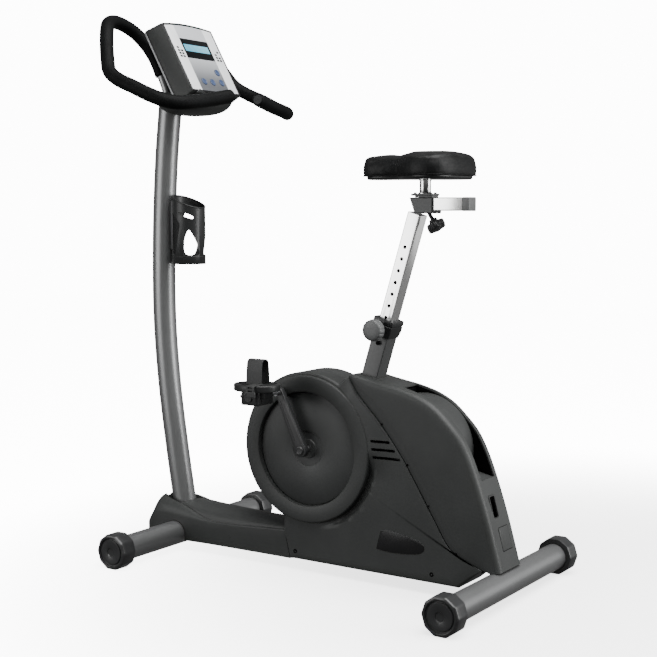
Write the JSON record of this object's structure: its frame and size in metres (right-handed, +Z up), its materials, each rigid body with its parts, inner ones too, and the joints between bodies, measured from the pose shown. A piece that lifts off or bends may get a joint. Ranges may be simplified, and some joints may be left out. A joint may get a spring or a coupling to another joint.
{
  "type": "exercise bike",
  "caption": "Upright stationary exercise bike with a covered flywheel drive, looped foam handlebars, tilted console, bottle cage and height-adjustable saddle.",
  "frame": {"origin": "centre of the bounding box at floor level", "axes": "+Z up, +X towards the rear of the bike (the rider faces -X), +Y towards the rider's right"},
  "size_m": [1.2536, 0.698, 1.5526],
  "materials": {
    "satin_grey": "satin grey powder coat with a fine metallic sparkle",
    "housing": "fine-grained charcoal moulded plastic",
    "black_plastic": "black moulded plastic, lightly grained",
    "crank_black": "black painted forged steel",
    "grey_plastic": "mid-grey moulded plastic",
    "grey_metal": "dark grey powder-coated steel",
    "bright_metal": "bright plated steel, finely brushed",
    "steel": "turned steel",
    "cast_iron": "grey cast iron, machined rim",
    "rubber": "black moulded rubber",
    "foam": "soft closed-cell black foam",
    "vinyl": "black grained artificial leather over foam",
    "panel": "printed silver membrane panel",
    "display": "dark display window",
    "button_blue": "dark blue soft-touch key"
  },
  "bodies": {
    "frame": {"front_stabiliser_tube": "satin_grey", "rear_stabiliser_tube": "satin_grey", "frame_beam": "satin_grey", "mast_tube": "satin_grey", "crank_support": "satin_grey", "flywheel_bracket": "satin_grey", "left_side_cover": "housing", "right_side_cover": "housing", "rear_spine_cover": "housing", "flywheel_guard": "housing", "base_cover": "housing", "console_rear_shell": "housing", "front_left_end_cap": "black_plastic", "front_right_end_cap": "black_plastic", "rear_left_end_cap": "black_plastic", "rear_right_end_cap": "black_plastic", "sleeve_collar": "black_plastic", "bottle_cage": "black_plastic", "power_inlet": "black_plastic", "seat_sleeve": "grey_metal", "left_handlebar_tube": "bright_metal", "right_handlebar_tube": "bright_metal", "left_crank_bearing": "steel", "right_crank_bearing": "steel", "flywheel_axle": "steel", "brake_magnet_carrier": "cast_iron", "drive_belt": "rubber", "left_foam_grip": "foam", "right_foam_grip": "foam", "console_front_panel": "panel", "display_window": "display"},
    "crank": {"crank_axle": "steel", "drive_pulley": "grey_plastic", "left_crank_arm": "crank_black", "left_crank_bolt": "crank_black", "left_crank_disc": "housing", "left_pedal_axle": "steel", "right_crank_arm": "crank_black", "right_crank_bolt": "crank_black", "right_crank_disc": "housing", "right_pedal_axle": "steel"},
    "left_pedal": {"left_pedal_body": "black_plastic", "left_pedal_strap": "rubber"},
    "right_pedal": {"right_pedal_body": "black_plastic", "right_pedal_strap": "rubber"},
    "flywheel_set": {"flywheel": "cast_iron", "flywheel_pulley": "steel"},
    "seat_support": {"seat_post": "bright_metal", "seat_bracket": "grey_metal"},
    "saddle_carriage": {"seat_slider": "bright_metal", "slider_end_cap": "grey_plastic", "saddle_column": "bright_metal", "saddle_base": "black_plastic", "saddle_pad": "vinyl"},
    "post_knob": {"post_pull_knob": "black_plastic"},
    "star_knob": {"saddle_star_knob": "black_plastic"},
    "button_1": {"console_button_1": "button_blue"},
    "button_2": {"console_button_2": "button_blue"},
    "button_3": {"console_button_3": "button_blue"},
    "button_4": {"console_button_4": "button_blue"}
  },
  "joints": [
    {"name": "crank_spin", "type": "hinge", "parent": "frame", "child": "crank", "pos_m": [0.00226, 0, 0.346], "axis": [0, 1, 0], "continuous": true},
    {"name": "left_pedal_spin", "type": "hinge", "parent": "crank", "child": "left_pedal", "pos_m": [-0.06959, -0.195, 0.50007], "axis": [0, 1, 0], "continuous": true},
    {"name": "right_pedal_spin", "type": "hinge", "parent": "crank", "child": "right_pedal", "pos_m": [0.07411, 0.195, 0.19193], "axis": [0, 1, 0], "continuous": true},
    {"name": "flywheel_spin", "type": "hinge", "parent": "frame", "child": "flywheel_set", "pos_m": [0.31926, 0, 0.372], "axis": [0, 1, 0], "continuous": true},
    {"name": "seat_height", "type": "slide", "parent": "frame", "child": "seat_support", "axis": [0.2924, 0, 0.9563], "range_m": [-0.1956, 0.1304]},
    {"name": "saddle_fore_aft", "type": "slide", "parent": "seat_support", "child": "saddle_carriage", "axis": [1, 0, 0], "range_m": [-0.08, 0.02]},
    {"name": "post_knob_pull", "type": "slide", "parent": "frame", "child": "post_knob", "axis": [0, -1, 0], "range_m": [0, 0.01], "stiffness_N_per_m": 800},
    {"name": "star_knob_turn", "type": "hinge", "parent": "seat_support", "child": "star_knob", "pos_m": [0.36126, 0, 0.964], "axis": [-0.5472, 0, 0.837], "range_deg": [0, 360]},
    {"name": "button_1_press", "type": "slide", "parent": "frame", "child": "button_1", "axis": [-0.8704, 0, -0.4924], "range_m": [0, 0.0012], "stiffness_N_per_m": 600},
    {"name": "button_2_press", "type": "slide", "parent": "frame", "child": "button_2", "axis": [-0.8704, 0, -0.4924], "range_m": [0, 0.0012], "stiffness_N_per_m": 600},
    {"name": "button_3_press", "type": "slide", "parent": "frame", "child": "button_3", "axis": [-0.8704, 0, -0.4924], "range_m": [0, 0.0012], "stiffness_N_per_m": 600},
    {"name": "button_4_press", "type": "slide", "parent": "frame", "child": "button_4", "axis": [-0.8704, 0, -0.4924], "range_m": [0, 0.0012], "stiffness_N_per_m": 600}
  ],
  "couplings": [
    {"joint": "flywheel_spin", "follows": "crank_spin", "ratio": 5.9091}
  ]
}
